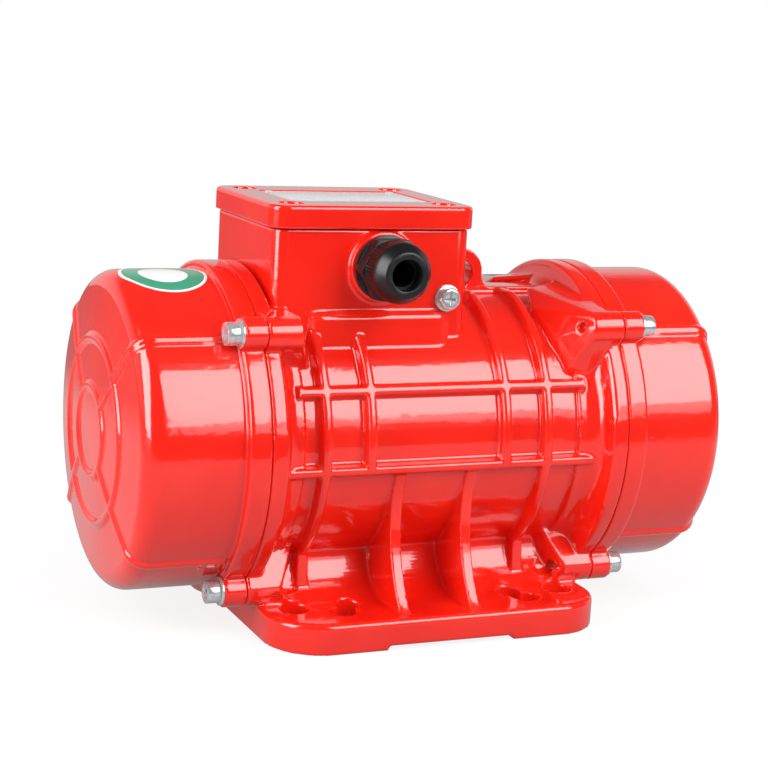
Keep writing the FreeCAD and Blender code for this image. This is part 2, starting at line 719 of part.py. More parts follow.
def terminals():
    """Block with six studs and their nuts on the floor of the box."""
    places = [(x, y) for x in (-40.0, -27.0, -14.0) for y in (-8.0, 8.0)]
    block = slab((-50, -4), (-16, 16), (box_floor, box_floor + 8), 2.0)
    walls = [slab((x - 0.9, x + 0.9), (-15, 15), (box_floor + 7, box_floor + 13)) for x in (-33.5, -20.5)]
    block = cut(fuse([block] + walls), [cylinder_z(2.05, box_floor + 2, box_floor + 14, x, y) for x, y in places])
    studs = [cylinder_z(2.0, box_floor + 2, box_floor + 18, x, y) for x, y in places]
    nuts = [hexagon(7.0, 3.2, Vector(x, y, box_floor + 8), Z_AXIS).cut(
            cylinder_z(2.05, box_floor + 7, box_floor + 13, x, y)) for x, y in places]
    return block, group(studs), group(nuts)


def gland():
    """Cable gland: threaded body, sealing sleeve, domed cap nut, entry washer and lock nut."""
    face = -box_half_width - gland_boss_height
    x, z = gland_x, gland_z
    washer = cylinder_y(13.4, face - 1.2, face, x, z).cut(cylinder_y(10.0, face - 2, face + 1, x, z))
    hex_start = face - 1.2
    body = fuse([cylinder_y(10.0, hex_start, -box_half_width + 8.5, x, z),
                 cylinder_y(14.6, hex_start - 1.2, hex_start, x, z),
                 hexagon(26.0, 6.8, Vector(x, hex_start - 8.0, z), Y_AXIS),
                 cylinder_y(10.6, hex_start - 15.0, hex_start - 7.0, x, z)])
    body = body.cut(cylinder_y(8.2, -100, 0, x, z))
    sleeve = fuse([cylinder_y(8.15, hex_start - 17.0, hex_start - 4.0, x, z)])
    sleeve = sleeve.cut(cylinder_y(6.0, -100, 0, x, z))
    nut_back = hex_start - 8.2
    profile = [(nut_back, 0), (nut_back, 13.5), (nut_back - 10.0, 13.5), (nut_back - 15.0, 9.8),
               (nut_back - 15.0, 0)]
    wire = rounded_wire(profile, [0, 0.6, 5.0, 1.2, 0], lambda p: Vector(x, p.x, z + p.y))
    nut = Part.Face(wire).revolve(Vector(x, 0, z), Y_AXIS, 360)
    nut = cut(nut, [cylinder_y(10.65, nut_back - 8.8, nut_back + 1, x, z), cylinder_y(7.0, -100, 0, x, z)])
    inside = -box_half_width + box_wall
    lock_nut = hexagon(24.0, 4.0, Vector(x, inside, z), Y_AXIS).cut(cylinder_y(10.05, -60, 0, x, z))
    return {"gland_washer": washer, "gland_body": body, "gland_seal": sleeve.cut(nut), "gland_cap_nut": nut,
            "gland_lock_nut": lock_nut}


def earth_screw():
    face = -box_half_width
    x, z = earth_screw_x, earth_screw_z
    washer = cylinder_y(6.0, face - 1.2, face, x, z).cut(cylinder_y(3.2, face - 3, face + 1, x, z))
    seat = face - 1.2
    head = cylinder_y(5.0, seat - 3.6, seat, x, z)
    head = head.makeFillet(1.2, [e for e in head.Edges if abs(e.CenterOfMass.y - (seat - 3.6)) < 1e-6])
    screw = fuse([head, cylinder_y(cover_bolt_radius, seat, face + 9, x, z)])
    cross = [slab((x - 2.9, x + 2.9), (seat - 4, seat - 1.8), (z - 0.6, z + 0.6)),
             slab((x - 0.6, x + 0.6), (seat - 4, seat - 1.8), (z - 2.9, z + 2.9))]
    return cut(screw, cross), washer


def build():
    nodes = housing_nodes()
    end_cover = cover()
    seal = ring_x(69.4, 66.6, joint_x - 2, joint_x)
    outer, inner, rollers, cage = bearing()
    per_end = {"cover": end_cover, "cover_seal": seal, "bearing_shield": shield(),
               "bearing_cap": bearing_cap(), "bearing_outer_race": outer, "bearing_inner_race": inner,
               "bearing_rollers": rollers, "bearing_cage": cage, "fixed_weight": fixed_weight(),
               "weight_key": weight_key(), "adjustable_weight": adjustable_weight(),
               "weight_clamp_screw": weight_clamp_screw(), "retaining_ring": retaining_ring()}
    for name, shape in per_end.items():
        for end, side in SIDES:
            nodes[name + "_" + end] = mirrored(shape, side)
    nodes.update(cover_fasteners())
    nodes["shield_screws"] = group(mirrored(s, side) for end, side in SIDES for s in shield_screws())
    nodes["bearing_cap_screws"] = group(mirrored(s, side) for end, side in SIDES for s in bearing_cap_screws())
    nodes["stator_core"], nodes["stator_winding"] = stator()
    nodes["rotor_core"], nodes["rotor_cage"] = rotor()
    nodes["shaft"] = shaft()
    plate, rivets, rivet_holes = nameplate()
    nodes["terminal_box_lid"] = lid().cut(rivet_holes)
    nodes["lid_gasket"] = lid_gasket()
    nodes["lid_screws"] = lid_screws()
    nodes["nameplate"] = plate
    nodes["nameplate_rivets"] = rivets
    nodes["terminal_block"], nodes["terminal_studs"], nodes["terminal_nuts"] = terminals()
    nodes.update(gland())
    nodes["earth_screw"], nodes["earth_washer"] = earth_screw()
    return nodes


os.makedirs("parts", exist_ok=True)
for node, shape in build().items():
    shape.exportStep("parts/" + node + ".step")
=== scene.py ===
"""Looks of the vibration motor: enamelled castings, zinc screws, nylon gland and machined parts inside."""
import json
import math

import bpy
from mathutils import Matrix, Vector


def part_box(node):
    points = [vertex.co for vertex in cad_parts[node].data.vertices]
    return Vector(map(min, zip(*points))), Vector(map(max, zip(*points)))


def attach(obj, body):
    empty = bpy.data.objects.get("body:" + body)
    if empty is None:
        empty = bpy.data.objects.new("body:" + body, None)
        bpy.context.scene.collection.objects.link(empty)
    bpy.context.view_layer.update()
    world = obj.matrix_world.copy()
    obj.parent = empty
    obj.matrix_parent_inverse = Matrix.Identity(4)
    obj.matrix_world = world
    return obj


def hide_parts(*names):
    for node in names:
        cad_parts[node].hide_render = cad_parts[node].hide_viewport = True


MM = 0.001

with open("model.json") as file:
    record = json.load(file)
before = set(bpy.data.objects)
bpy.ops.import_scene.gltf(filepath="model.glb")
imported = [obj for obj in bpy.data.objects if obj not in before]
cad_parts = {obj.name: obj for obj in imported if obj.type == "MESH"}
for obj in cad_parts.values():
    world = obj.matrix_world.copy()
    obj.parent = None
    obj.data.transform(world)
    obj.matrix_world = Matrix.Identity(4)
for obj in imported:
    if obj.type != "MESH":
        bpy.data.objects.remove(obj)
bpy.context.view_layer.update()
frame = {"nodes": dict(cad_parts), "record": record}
NODES = frame["nodes"]
FLANGED_NODES = ("housing", "flange_left", "flange_right")
HOUSING_NODES = FLANGED_NODES + ("lifting_eye", "terminal_box", "terminal_box_posts")

# Millimetres and degrees, as in the solids
AXIS_HEIGHT = 84.5
JOINT_X, FLANGE_FACE, FLANGE_RADIUS = 86.0, 78.0, 75.0
BARREL_END, BARREL_RADIUS, BAND_RADIUS = 67.0, 61.0, 63.2
BOLT_CIRCLE, UPPER_BOLT, LOWER_BOLT = 77.6, 42.6, -55.4
BOSS_HALF = 7.6
RIB_CREST, LONG_RIB_ANGLES = 65.65, (24.5, -7.0)
GUSSET_CORNERS = ((60.0, -18.0, 147.5), (57.0, -30.0, 140.5), (60.0, -44.0, 129.0), (63.5, -51.5, 115.5),
                  (72.0, -53.5, 112.5), (80.0, -56.0, 118.0), (80.0, -10.0, 150.0))
COVER_END, COVER_RADIUS, COVER_ROUND, COVER_CROWN = 144.5, 71.0, 9.0, 4.2
UPPER_BEAD, LOWER_BEAD = 44.4, -42.0
BEAD_START, BEAD_RADIUS, BEAD_SINK, BEAD_RINGS = 97.0, 2.4, 1.0, (41.0, 20.0)
GRIP_FLUTES = 61
STICKER_THICKNESS, STICKER_LIFT = 0.16 * MM, 0.1 * MM
STICKER_MIDDLE, STICKER_RADIUS = Vector((-115.8, -8.05, 0.0)) * MM, 19.3 * MM
LARGE_CASTING_FACES, LID_FACES = 190000, 110000
WORLD_AXES = (Vector((1, 0, 0)), Vector((0, 1, 0)), Vector((0, 0, 1)))


# ---------------------------------------------------------------- camera, light and floor

CAMERA_TARGET = Vector((-0.0038, 0.0, 0.1013))
CAMERA_AZIMUTH = -24.13
CAMERA_ELEVATION = 11.14
CAMERA_ROLL = 3.21
CAMERA_DISTANCE = 0.897
CAMERA_LENS = 89.82
STUDIO_MIDDLE = Vector((0.0, 0.0, 0.1))


def camera_axes():
    """Right, up and backward directions of the camera."""
    azimuth, elevation, roll = (math.radians(a) for a in (CAMERA_AZIMUTH, CAMERA_ELEVATION, CAMERA_ROLL))
    back = Vector((math.sin(azimuth) * math.cos(elevation), -math.cos(azimuth) * math.cos(elevation),
                   math.sin(elevation)))
    right = Vector((math.cos(azimuth), math.sin(azimuth), 0.0))
    up = back.cross(right)
    return (right * math.cos(roll) + up * math.sin(roll), up * math.cos(roll) - right * math.sin(roll), back)


def add_camera():
    right, up, back = camera_axes()
    camera = bpy.data.objects.new("camera", bpy.data.cameras.new("camera"))
    bpy.context.collection.objects.link(camera)
    camera.data.lens = CAMERA_LENS
    camera.data.sensor_width = 36.0
    turn = Matrix((right, up, back)).transposed()
    camera.matrix_world = Matrix.Translation(CAMERA_TARGET + back * CAMERA_DISTANCE) @ turn.to_4x4()
    camera.data.clip_start = 0.01
    bpy.context.scene.camera = camera


def colour(hex_text):
    """sRGB hex to linear RGBA."""
    values = []
    for i in (0, 2, 4):
        c = int(hex_text[i:i + 2], 16) / 255.0
        values.append(c / 12.92 if c <= 0.04045 else ((c + 0.055) / 1.055) ** 2.4)
    return (*values, 1.0)


def node(tree, kind, settings=None, inputs=None, links=None):
    """Adds one shader node: its settings, input values, and links from other nodes' outputs."""
    made = tree.nodes.new(kind)
    for name, value in (settings or {}).items():
        setattr(made, name, value)
    for name, value in (inputs or {}).items():
        made.inputs[name].default_value = value
    for name, output in (links or {}).items():
        tree.links.new(output, made.inputs[name])
    return made


def softbox(name, place, aim, width, height, power, lift=0.0):
    """Rectangular studio light aimed at a point, moved up within its own plane by the lift."""
    light = bpy.data.lights.new(name, "AREA")
    light.shape = "RECTANGLE"
    light.size, light.size_y, light.energy = width, height, power
    lamp = bpy.data.objects.new(name, light)
    bpy.context.collection.objects.link(lamp)
    turn = (Vector(aim) - Vector(place)).to_track_quat("-Z", "Y")
    lamp.location = Vector(place) + turn @ Vector((0.0, lift, 0.0))
    lamp.rotation_euler = turn.to_euler()
    return lamp


def studio_place(azimuth, elevation, distance):
    """Point round the motor: azimuth from straight ahead towards the right, elevation above its middle."""
    turn, lift = math.radians(azimuth), math.radians(elevation)
    way = Vector((math.sin(turn) * math.cos(lift), -math.cos(turn) * math.cos(lift), math.sin(lift)))
    return way * distance + STUDIO_MIDDLE


def add_lights():
    key_place = studio_place(31, 29, 1.3)
    softbox("key_softbox", key_place, STUDIO_MIDDLE, 0.95, 0.89, 14.2, 0.08)
    softbox("key_softbox_foot", key_place, STUDIO_MIDDLE, 0.95, 0.16, 0.8, -0.445)
    softbox("left_softbox", studio_place(-78, 22, 1.4), STUDIO_MIDDLE, 0.75, 1.2, 20.0)


def ramp(tree, source, stops, mode="EASE"):
    """Colour ramp through grey levels or hex colours at the given positions."""
    made = node(tree, "ShaderNodeValToRGB", links={"Fac": source})
    made.color_ramp.interpolation = mode
    elements = made.color_ramp.elements
    while len(elements) < len(stops):
        elements.new(0.5)
    for element, (position, value) in zip(elements, stops):
        element.position = position
        element.color = colour(value) if isinstance(value, str) else (value, value, value, 1.0)
    return made.outputs["Color"]


def add_world():
    """White studio seen directly; in reflections a white wall behind and a dark ceiling; a fill from above."""
    world = bpy.data.worlds.new("studio")
    world.use_nodes = True
    tree = world.node_tree
    tree.nodes.clear()
    ways = node(tree, "ShaderNodeLightPath")
    position = node(tree, "ShaderNodeTexCoord")
    split = node(tree, "ShaderNodeSeparateXYZ", links={"Vector": position.outputs["Generated"]})
    depth = node(tree, "ShaderNodeMapRange", inputs={"From Min": -1.0, "From Max": 1.0},
                 links={"Value": split.outputs["Y"]})
    height = node(tree, "ShaderNodeMapRange", inputs={"From Min": -1.0, "From Max": 1.0},
                  links={"Value": split.outputs["Z"]})
    wall = ramp(tree, depth.outputs["Result"], [(0.5, 0.05), (0.68, 1.0)])
    ceiling = ramp(tree, height.outputs["Result"], [(0.66, 1.0), (0.8, 0.06)])
    both = node(tree, "ShaderNodeMath", {"operation": "MULTIPLY"}, links={0: wall, 1: ceiling})
    level = node(tree, "ShaderNodeMath", {"operation": "MULTIPLY_ADD"}, {1: 0.5, 2: 0.04},
                 {0: both.outputs[0]})
    mirror = node(tree, "ShaderNodeBackground", inputs={"Color": colour("FFFFFF")},
                  links={"Strength": level.outputs[0]})
    sky = ramp(tree, height.outputs["Result"], [(0.4, 0.10), (1.0, 0.85)], "LINEAR")
    fill = node(tree, "ShaderNodeBackground", inputs={"Color": colour("FFFFFF")}, links={"Strength": sky})
    seen = node(tree, "ShaderNodeBackground", inputs={"Color": colour("FFFFFF"), "Strength": 1.0})
    mixed = node(tree, "ShaderNodeMixShader", links={0: ways.outputs["Is Glossy Ray"], 1: fill.outputs[0],
                                                    2: mirror.outputs[0]})
    final = node(tree, "ShaderNodeMixShader", links={0: ways.outputs["Is Camera Ray"], 1: mixed.outputs[0],
                                                    2: seen.outputs[0]})
    node(tree, "ShaderNodeOutputWorld", links={"Surface": final.outputs[0]})
    bpy.context.scene.world = world


def add_floor():
    """White floor that keeps the shadow of the motor near it; its front edge ends close to the motor. In the
    motor's reflections and bounce light the floor is a painted glow over a darker shaded copy of the paper, with
    painted shadow near the motor.
    """
    bpy.ops.mesh.primitive_plane_add(size=1.0, location=(0.0, 1.4, -0.0002), scale=(1.0, 1.0, 1.0))
    floor = bpy.context.object
    floor.name = "floor"
    floor.scale = (6.0, 3.9, 1.0)
    bpy.ops.object.transform_apply(location=True, rotation=True, scale=True)
    material = bpy.data.materials.new("floor_paper")
    material.use_nodes = True
    tree = material.node_tree
    tree.nodes.clear()
    ways = node(tree, "ShaderNodeLightPath")
    place = node(tree, "ShaderNodeTexCoord")
    reach = node(tree, "ShaderNodeVectorMath", {"operation": "LENGTH"}, links={0: place.outputs["Object"]})
    away = ramp(tree, reach.outputs["Value"], [(0.16, 0.86), (0.42, 1.0)])
    paper = node(tree, "ShaderNodeBsdfDiffuse", inputs={"Color": colour("FAFAFA")})
    # Darker shaded copy of the paper, shown only to reflection and bounce rays: painted shade.
    shaded_paper_copy = node(tree, "ShaderNodeBsdfDiffuse", inputs={"Color": colour("707070")})
    glow = node(tree, "ShaderNodeEmission", inputs={"Color": colour("FFFFFF"), "Strength": 1.0})
    seen = node(tree, "ShaderNodeMixShader", links={0: away, 1: paper.outputs[0], 2: glow.outputs[0]})
    # How much glow the motor sees mirrored in the floor: a painted reflection, kept low right under the motor as
    # painted shadow and fading far in front.
    reflection_glow_and_shadow = ramp(tree, reach.outputs["Value"], [(0.0, 0.12), (0.2, 0.36), (0.45, 0.36), (0.7, 0.03)])
    mirrored = node(tree, "ShaderNodeMixShader",
                    links={0: reflection_glow_and_shadow, 1: shaded_paper_copy.outputs[0], 2: glow.outputs[0]})
    # How much glow the floor gives back as bounce light: painted light, kept low near the motor as painted
    # shadow.
    bounce_glow_and_shadow = ramp(tree, reach.outputs["Value"], [(0.06, 0.15), (0.3, 0.8)])
    lit = node(tree, "ShaderNodeMixShader", links={0: bounce_glow_and_shadow, 1: shaded_paper_copy.outputs[0], 2: glow.outputs[0]})
    indirect = node(tree, "ShaderNodeMixShader", links={0: ways.outputs["Is Glossy Ray"], 1: lit.outputs[0],
                                                       2: mirrored.outputs[0]})
    final = node(tree, "ShaderNodeMixShader", links={0: ways.outputs["Is Camera Ray"], 1: indirect.outputs[0],
                                                    2: seen.outputs[0]})
    node(tree, "ShaderNodeOutputMaterial", links={"Surface": final.outputs[0]})
    floor.data.materials.append(material)


# ---------------------------------------------------------------- materials

def start_material(name):
    material = bpy.data.materials.new(name)
    material.use_nodes = True
    tree = material.node_tree
    shader = tree.nodes["Principled BSDF"]
    place = node(tree, "ShaderNodeTexCoord")
    return material, tree, shader, place.outputs["Object"]


def per_metre(millimetres):
    """Noise scale whose features are about this size."""
    return 1.0 / (millimetres * MM)


def set_values(shader, values):
    for name, value in values.items():
        shader.inputs[name].default_value = value


def red_enamel():
    """Stoved red enamel over a blasted casting: deep gloss, with a faint orange peel in the reflections."""
    material, tree, shader, place = start_material("red_enamel")
    set_values(shader, {"Roughness": 0.16, "IOR": 1.5, "Coat Weight": 1.0, "Coat Roughness": 0.03,
                        "Coat IOR": 1.5})
    blotch = node(tree, "ShaderNodeTexNoise", inputs={"Scale": per_metre(38), "Detail": 2.0},
                  links={"Vector": place})
    shade = ramp(tree, blotch.outputs["Fac"], [(0.3, "E81B0D"), (0.7, "F02414")])
    tree.links.new(shade, shader.inputs["Base Color"])
    peel = node(tree, "ShaderNodeTexNoise", inputs={"Scale": per_metre(3.2), "Detail": 1.0, "Roughness": 0.4},
                links={"Vector": place})
    cast = node(tree, "ShaderNodeTexNoise", inputs={"Scale": per_metre(17), "Detail": 2.0},
                links={"Vector": place})
    swell = node(tree, "ShaderNodeMath", {"operation": "MULTIPLY_ADD"}, {1: 2.5},
                 {0: cast.outputs["Fac"], 2: peel.outputs["Fac"]})
    bump = node(tree, "ShaderNodeBump", inputs={"Strength": 0.10, "Distance": 0.0004},
                links={"Height": swell.outputs[0]})
    tree.links.new(bump.outputs["Normal"], shader.inputs["Normal"])
    tree.links.new(bump.outputs["Normal"], shader.inputs["Coat Normal"])
    return material


def zinc_plate():
    """Bright zinc plating on steel: silvery with a cool cast and a fine drawn haze."""
    material, tree, shader, place = start_material("zinc_plate")
    set_values(shader, {"Metallic": 0.72})
    haze = node(tree, "ShaderNodeTexNoise", inputs={"Scale": per_metre(1.6), "Detail": 4.0},
                links={"Vector": place})
    tone = ramp(tree, haze.outputs["Fac"], [(0.3, "D2D6D9"), (0.7, "F0F2F4")])
    rough = node(tree, "ShaderNodeMapRange", inputs={"To Min": 0.12, "To Max": 0.26},
                 links={"Value": haze.outputs["Fac"]})
    tree.links.new(tone, shader.inputs["Base Color"])
    tree.links.new(rough.outputs["Result"], shader.inputs["Roughness"])
    return material


def speckled(name, dark, light, grain_mm, rough_low, rough_high, bump_mm, **values):
    """Matte or metallic surface whose tone and roughness vary over a grain of the given size."""
    material, tree, shader, place = start_material(name)
    set_values(shader, {key.replace("_", " "): value for key, value in values.items()})
    grain = node(tree, "ShaderNodeTexNoise", inputs={"Scale": per_metre(grain_mm), "Detail": 5.0},
                 links={"Vector": place})
    tone = ramp(tree, grain.outputs["Fac"], [(0.35, dark), (0.65, light)])
    rough = node(tree, "ShaderNodeMapRange", inputs={"To Min": rough_low, "To Max": rough_high},
                 links={"Value": grain.outputs["Fac"]})
    bump = node(tree, "ShaderNodeBump", inputs={"Strength": 0.5, "Distance": bump_mm * MM},
                links={"Height": grain.outputs["Fac"]})
    tree.links.new(tone, shader.inputs["Base Color"])
    tree.links.new(rough.outputs["Result"], shader.inputs["Roughness"])
    tree.links.new(bump.outputs["Normal"], shader.inputs["Normal"])
    return material


def ring_sticker():
    """Printed film: white border, green ring and white middle, by distance from its centre."""
    material, tree, shader, place = start_material("printed_film")
    set_values(shader, {"Roughness": 0.25, "Coat Weight": 0.6, "Coat Roughness": 0.05})
    across = node(tree, "ShaderNodeVectorMath", {"operation": "SUBTRACT"}, {1: STICKER_MIDDLE}, {0: place})
    flat = node(tree, "ShaderNodeVectorMath", {"operation": "MULTIPLY"}, {1: (1.0, 1.0, 0.0)},
                {0: across.outputs["Vector"]})
    reach = node(tree, "ShaderNodeVectorMath", {"operation": "LENGTH"}, links={0: flat.outputs["Vector"]})
    scaled = node(tree, "ShaderNodeMath", {"operation": "DIVIDE"}, {1: STICKER_RADIUS},
                  {0: reach.outputs["Value"]})
    bands = [(0.0, "F4F4F2"), (0.56, "3F9A78"), (0.93, "F4F4F2")]
    tree.links.new(ramp(tree, scaled.outputs[0], bands, "CONSTANT"), shader.inputs["Base Color"])
    return material


def make_materials():
    """Every finish on the motor, by the record's material slot."""
    return {
        "red_paint": red_enamel(),
        "zinc_steel": zinc_plate(),
        # Glass-filled polyamide, moulded: near-black with a soft sheen.
        "black_nylon": speckled("moulded_nylon", "0A0A0B", "141416", 0.8, 0.28, 0.42, 0.03, IOR=1.53),
        # Nitrile rubber: dull dark grey.
        "rubber": speckled("nitrile_rubber", "131313", "1D1D1D", 1.2, 0.5, 0.7, 0.05, IOR=1.52),
        # Pressure-cast aluminium, blasted: light grey with an open grain.
        "cast_aluminium": speckled("cast_aluminium", "8E8F90", "B9BABB", 1.5, 0.45, 0.62, 0.12, Metallic=1.0),
        # Cage cast into the rotor: a little brighter and smoother.
        "rotor_aluminium": speckled("rotor_aluminium", "A2A3A5", "C6C7C9", 2.0, 0.35, 0.5, 0.08,
                                    Metallic=1.0),
        # Turned or milled steel, lightly oiled: mid grey.
        "machined_steel": speckled("machined_steel", "7C7D80", "A2A3A6", 2.5, 0.25, 0.4, 0.03, Metallic=1.0),
        # Ground and hardened bearing steel: bright and smooth.
        "bearing_steel": speckled("bearing_steel", "B6B7BA", "CFD0D3", 3.0, 0.08, 0.16, 0.005, Metallic=1.0),
        # Machined brass cages and studs: warm yellow, slightly dulled.
        "brass": speckled("turned_brass", "B08D45", "CDAB5F", 2.0, 0.22, 0.35, 0.02, Metallic=1.0),
        # Stacked electrical sheet under varnish: dark blue-grey.
        "lamination_steel": speckled("varnished_laminations", "35383E", "4C5057", 0.6, 0.4, 0.6, 0.15,
                                     Metallic=1.0),
        # Enamelled copper wire, varnished: red-brown with a wound grain.
        "copper": speckled("enamelled_copper", "7A2F12", "B85524", 1.0, 0.25, 0.45, 0.35, Metallic=1.0),
        # Phenolic moulding: dark brown-black.
        "block_plastic": speckled("phenolic_moulding", "1B1512", "2A211C", 1.0, 0.35, 0.5, 0.03, IOR=1.6),
        # Anodised nameplate: light grey with a soft metallic sheen.
        "plate_aluminium": speckled("satin_aluminium", "DDE0E3", "ECEEF0", 1.2, 0.2, 0.3, 0.01,
                                    Metallic=0.35),
        "sticker": ring_sticker(),
    }


# ---------------------------------------------------------------- modelling helpers

def select_only(*objects):
    bpy.ops.object.select_all(action="DESELECT")
    for obj in objects:
        obj.select_set(True)
    bpy.context.view_layer.objects.active = objects[0]


def apply_modifier(obj, kind, **settings):
    select_only(obj)
    modifier = obj.modifiers.new(kind.lower(), kind)
    for name, value in settings.items():
        setattr(modifier, name, value)
    bpy.ops.object.modifier_apply(modifier=modifier.name)


def copy_of_node(name, new_name):
    """Copy of a CAD node with its loose triangles merged."""
    source = NODES[name]
    piece = source.copy()
    piece.data = source.data.copy()
    piece.name = piece.data.name = new_name
    bpy.context.collection.objects.link(piece)
    select_only(piece)
    bpy.ops.object.mode_set(mode="EDIT")
    bpy.ops.mesh.select_all(action="SELECT")
    bpy.ops.mesh.remove_doubles(threshold=0.001 * MM)
    bpy.ops.object.mode_set(mode="OBJECT")
    return piece


def finish_piece(piece, material, slot, body, *replaced):
    """Material and body of a piece, and the CAD nodes that it stands for; the slot is not used."""
    piece.data.materials.clear()
    piece.data.materials.append(material)
    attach(piece, body)
    if replaced:
        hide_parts(*replaced)


def joined(pieces):
    select_only(*pieces)
    if len(pieces) > 1:
        bpy.ops.object.join()
    return pieces[0]


def apply_boolean(piece, operation, tool):
    """Cuts or adds the tool and removes it."""
    apply_modifier(piece, "BOOLEAN", operation=operation, object=tool, solver="EXACT")
    bpy.data.objects.remove(tool)


def placed_box(name, middle, axes, sizes):
    """Box with its middle, axes and sizes in millimetres, its place in the mesh."""
    bpy.ops.mesh.primitive_cube_add(size=1.0)
    piece = bpy.context.object
    piece.name = name
    turn = Matrix(axes).transposed().to_4x4()
    stretch = Matrix.Diagonal((*(s * MM for s in sizes), 1.0))
    piece.matrix_world = Matrix.Translation(middle * MM) @ turn @ stretch
    bpy.ops.object.transform_apply(location=True, rotation=True, scale=True)
    outward(piece)
    return piece


def outward(piece):
    select_only(piece)
    bpy.ops.object.mode_set(mode="EDIT")
    bpy.ops.mesh.select_all(action="SELECT")
    bpy.ops.mesh.normals_make_consistent(inside=False)
    bpy.ops.object.mode_set(mode="OBJECT")


def turned_x(name, sections):
    """Solid of revolution about the shaft axis from sections of (x, radius) in millimetres."""
    first_x, first_radius = sections[0]
    bpy.ops.mesh.primitive_circle_add(vertices=256, radius=first_radius * MM, fill_type="NGON",
                                      location=(first_x * MM, 0.0, AXIS_HEIGHT * MM),
                                      rotation=(0.0, math.radians(90), 0.0))
    piece = bpy.context.object
    piece.name = name
    bpy.ops.object.mode_set(mode="EDIT")
    for (x0, r0), (x1, r1) in zip(sections, sections[1:]):
        bpy.ops.mesh.extrude_region_move(TRANSFORM_OT_translate={"value": ((x1 - x0) * MM, 0.0, 0.0)})
        bpy.ops.transform.resize(value=(1.0, r1 / r0, r1 / r0),
                                 center_override=(x1 * MM, 0.0, AXIS_HEIGHT * MM))
    bpy.ops.object.mode_set(mode="OBJECT")
    bpy.ops.object.transform_apply(location=True, rotation=True, scale=True)
    outward(piece)
    return piece


# ---------------------------------------------------------------- castings

def barrel_form():
    """Outer form of the barrel and its +X flange, a hair smaller, with the ends of the long ribs."""
    hair = -0.12
    sweep = 9.5
    middle_x, middle_radius = FLANGE_FACE - sweep, BAND_RADIUS + sweep
    sections = [(50.0, BARREL_RADIUS + hair), (BARREL_END, BARREL_RADIUS + hair),
                (BARREL_END, BAND_RADIUS + hair)]
    for degrees in (0, 12, 24, 36, 48, 60, 72, 84, 90):
        angle = math.radians(degrees)
        sections.append((middle_x + sweep * math.sin(angle), middle_radius - sweep * math.cos(angle) + hair))
    sections += [(FLANGE_FACE + 1.6, FLANGE_RADIUS + hair), (JOINT_X + 1.0, FLANGE_RADIUS + hair)]
    form = turned_x("barrel_form", sections)
    for degrees in LONG_RIB_ANGLES:
        outward_way, along_way = polar_axes(180 - degrees)
        rib = placed_box("rib_end", Vector((60.0, 0, AXIS_HEIGHT)) + outward_way * (RIB_CREST / 2),
                         (Vector((1, 0, 0)), along_way, outward_way), (20.0, 4.8, RIB_CREST))
        apply_boolean(form, "UNION", rib)
    return form


def polar_axes(degrees):
    """Outward and sideways directions at an angle about the shaft axis, from +Y towards +Z."""
    angle = math.radians(degrees)
    return Vector((0, math.cos(angle), math.sin(angle))), Vector((0, -math.sin(angle), math.cos(angle)))


def boss_trimmer():
    """What the mould leaves away beside the bolt bosses, so that each is a round boss on a narrow web."""
    pieces = []
    for degrees, way in ((180 - UPPER_BOLT, 1), (180 - LOWER_BOLT, -1)):
        outward_way, side_way = polar_axes(degrees)
        side_way = side_way * way
        near, far, low, high = BOSS_HALF, 40.0, 40.0, BOLT_CIRCLE + 3.0
        start, stop = 60.5, JOINT_X + 0.3
        middle = Vector(((start + stop) / 2, 0, AXIS_HEIGHT)) + side_way * ((near + far) / 2) \
            + outward_way * ((low + high) / 2)
        piece = placed_box("trimmer", middle, (Vector((1, 0, 0)), side_way, outward_way),
                           (stop - start, far - near, high - low))
        apply_boolean(piece, "DIFFERENCE", barrel_form())
        pieces.append(piece)
    foot_gap = placed_box("foot_gap", Vector((69.5, -51.3, 16.2)), WORLD_AXES, (19.0, 4.0, 4.9))
    trimmer = joined(pieces + [foot_gap])
    apply_modifier(trimmer, "MIRROR", use_axis=(True, True, False), use_mirror_merge=False)
    return trimmer


def gussets():
    """Webs from the upper bosses of the +X flange down to the barrel, with the screw holes through them."""
    outward_way, side_way = polar_axes(180 - UPPER_BOLT)
    centre = Vector((0, 0, AXIS_HEIGHT)) + outward_way * BOLT_CIRCLE
    bpy.ops.mesh.primitive_cylinder_add(vertices=48, radius=7.2 * MM, depth=9.5 * MM,
                                        location=(centre + Vector((75.2, 0, 0))) * MM,
                                        rotation=(0.0, math.radians(90), 0.0))
    pieces = [bpy.context.object]
    for place in GUSSET_CORNERS:
        bpy.ops.mesh.primitive_uv_sphere_add(segments=16, ring_count=8, radius=1.5 * MM,
                                             location=Vector(place) * MM)
        pieces.append(bpy.context.object)
    for piece in pieces:
        select_only(piece)
        bpy.ops.object.transform_apply(location=True, rotation=True, scale=True)
    gusset = joined(pieces)
    gusset.name = "gusset"
    bpy.ops.object.mode_set(mode="EDIT")
    bpy.ops.mesh.select_all(action="SELECT")
    bpy.ops.mesh.convex_hull()
    bpy.ops.object.mode_set(mode="OBJECT")
    outward(gusset)
    bpy.ops.mesh.primitive_cylinder_add(vertices=32, radius=2.0 * MM, depth=40.0 * MM,
                                        location=(centre + Vector((66.0, 0, 0))) * MM,
                                        rotation=(0.0, math.radians(90), 0.0))
    apply_boolean(gusset, "DIFFERENCE", bpy.context.object)
    apply_modifier(gusset, "MIRROR", use_axis=(False, True, False), use_mirror_merge=False)
    return gusset


def dome_x(radius):
    """Where the domed end face of the +X cover lies at a distance from the axis."""
    rim_radius = COVER_RADIUS - COVER_ROUND
    ball_radius = (rim_radius ** 2 + COVER_CROWN ** 2) / (2 * COVER_CROWN)
    return COVER_END - ball_radius + math.sqrt(ball_radius ** 2 - radius ** 2)


